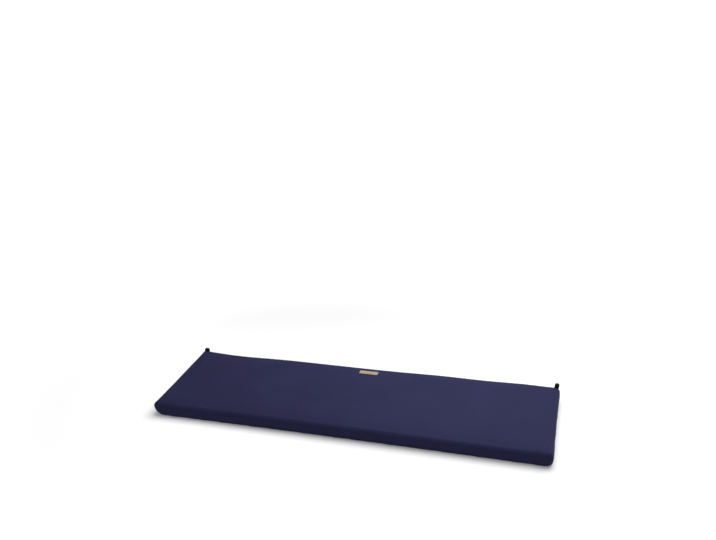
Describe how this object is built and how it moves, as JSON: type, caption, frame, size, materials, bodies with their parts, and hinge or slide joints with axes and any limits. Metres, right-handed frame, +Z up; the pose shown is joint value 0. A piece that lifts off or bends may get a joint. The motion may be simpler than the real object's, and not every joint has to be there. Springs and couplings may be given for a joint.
{
  "type": "sofa cushion",
  "caption": "Long thin boxed seat cushion for a bench or sofa, foam-filled, with a leather patch and elastic tape loops at its rear edge.",
  "frame": {"origin": "on the surface that the cushion lies on, under the middle of the cushion", "axes": "+X along the cushion's length, +Y towards its rear edge with the loops and the patch, +Z up out of its top"},
  "size_m": [1.4984, 0.4491, 0.0732],
  "materials": {
    "canvas": "matte woven canvas, navy",
    "patch": "satin vegetable-tanned leather, tan",
    "elastic": "matte woven elastic tape, black"
  },
  "bodies": {
    "root": {"cushion": "canvas", "leather_patch": "patch", "loop_left": "elastic", "loop_right": "elastic"}
  },
  "joints": []
}
